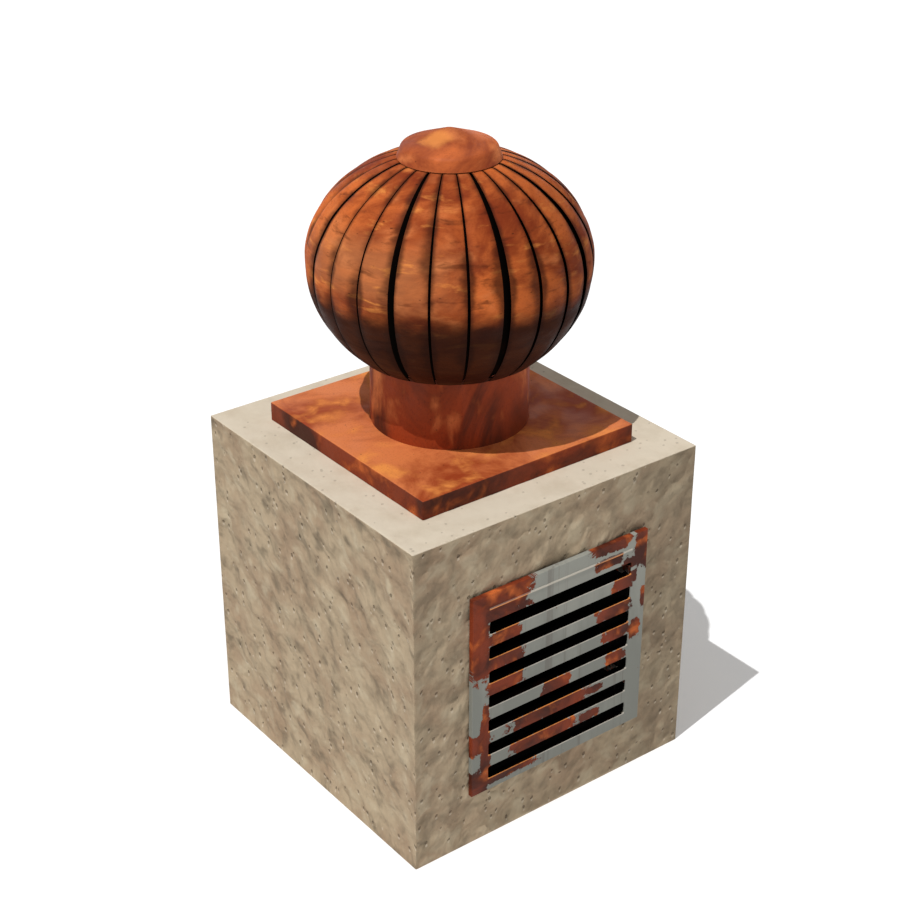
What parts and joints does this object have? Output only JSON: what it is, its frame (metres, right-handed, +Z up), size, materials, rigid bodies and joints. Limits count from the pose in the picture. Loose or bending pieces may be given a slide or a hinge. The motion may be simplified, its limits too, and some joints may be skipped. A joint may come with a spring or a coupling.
{
  "type": "turbine roof vent on a concrete upstand",
  "caption": "Weathered turbine roof vent: a slotted rotor of curved vanes spins on a round throat above a flashing pan and a hollow concrete upstand with a louvred grille.",
  "frame": {"origin": "centre of the upstand's foot, on the roof", "axes": "+Z up along the rotor's axis, -Y out of the wall that holds the louvre grille"},
  "size_m": [0.66, 0.6716, 1.2733],
  "materials": {
    "concrete": "weathered cast concrete with small pits",
    "grille_paint": "grey-green paint flaking off rust",
    "flashing_rust": "rusted sheet steel, orange-brown",
    "throat_rust": "rusted sheet steel, dark red-brown",
    "vane_rust": "rusted sheet steel with a dull sheen",
    "cap_rust": "rusted sheet steel, orange-brown",
    "inner_steel": "dull, lightly rusted",
    "fastener_steel": "dull zinc",
    "bearing_steel": "polished",
    "bush_nylon": "matt"
  },
  "bodies": {
    "base": {"upstand": "concrete", "louvre_grille": "grille_paint", "grille_lugs": "inner_steel", "lug_screws": "fastener_steel", "base_flashing": "flashing_rust", "throat": "throat_rust", "hold_down_clips": "inner_steel", "clip_anchors": "fastener_steel", "clip_rivets": "fastener_steel", "lower_spider": "inner_steel", "upper_spider": "inner_steel", "spider_rivets": "fastener_steel", "spindle": "inner_steel", "spindle_foot_nut": "fastener_steel", "spindle_top_nut": "fastener_steel", "bearing_inner_race": "bearing_steel"},
    "rotor": {"vane_01": "vane_rust", "vane_02": "vane_rust", "vane_03": "vane_rust", "vane_04": "vane_rust", "vane_05": "vane_rust", "vane_06": "vane_rust", "vane_07": "vane_rust", "vane_08": "vane_rust", "vane_09": "vane_rust", "vane_10": "vane_rust", "vane_11": "vane_rust", "vane_12": "vane_rust", "vane_13": "vane_rust", "vane_14": "vane_rust", "vane_15": "vane_rust", "vane_16": "vane_rust", "vane_17": "vane_rust", "vane_18": "vane_rust", "vane_19": "vane_rust", "vane_20": "vane_rust", "vane_21": "vane_rust", "vane_22": "vane_rust", "vane_23": "vane_rust", "vane_24": "vane_rust", "bottom_ring": "vane_rust", "hub_plate": "inner_steel", "top_plate": "inner_steel", "cap": "cap_rust", "vane_rivets": "fastener_steel", "bearing_housing": "inner_steel", "housing_bolts": "fastener_steel", "housing_nuts": "fastener_steel", "bearing_outer_race": "bearing_steel", "bearing_circlip": "fastener_steel", "rotor_spider": "inner_steel", "rotor_foot_rivets": "fastener_steel", "guide_bush": "bush_nylon", "bearing_cage": "bearing_steel", "bearing_balls": "bearing_steel"}
  },
  "joints": [
    {"name": "rotor_spin", "type": "hinge", "parent": "base", "child": "rotor", "pos_m": [0, 0, 1], "axis": [0, 0, 1], "continuous": true}
  ]
}
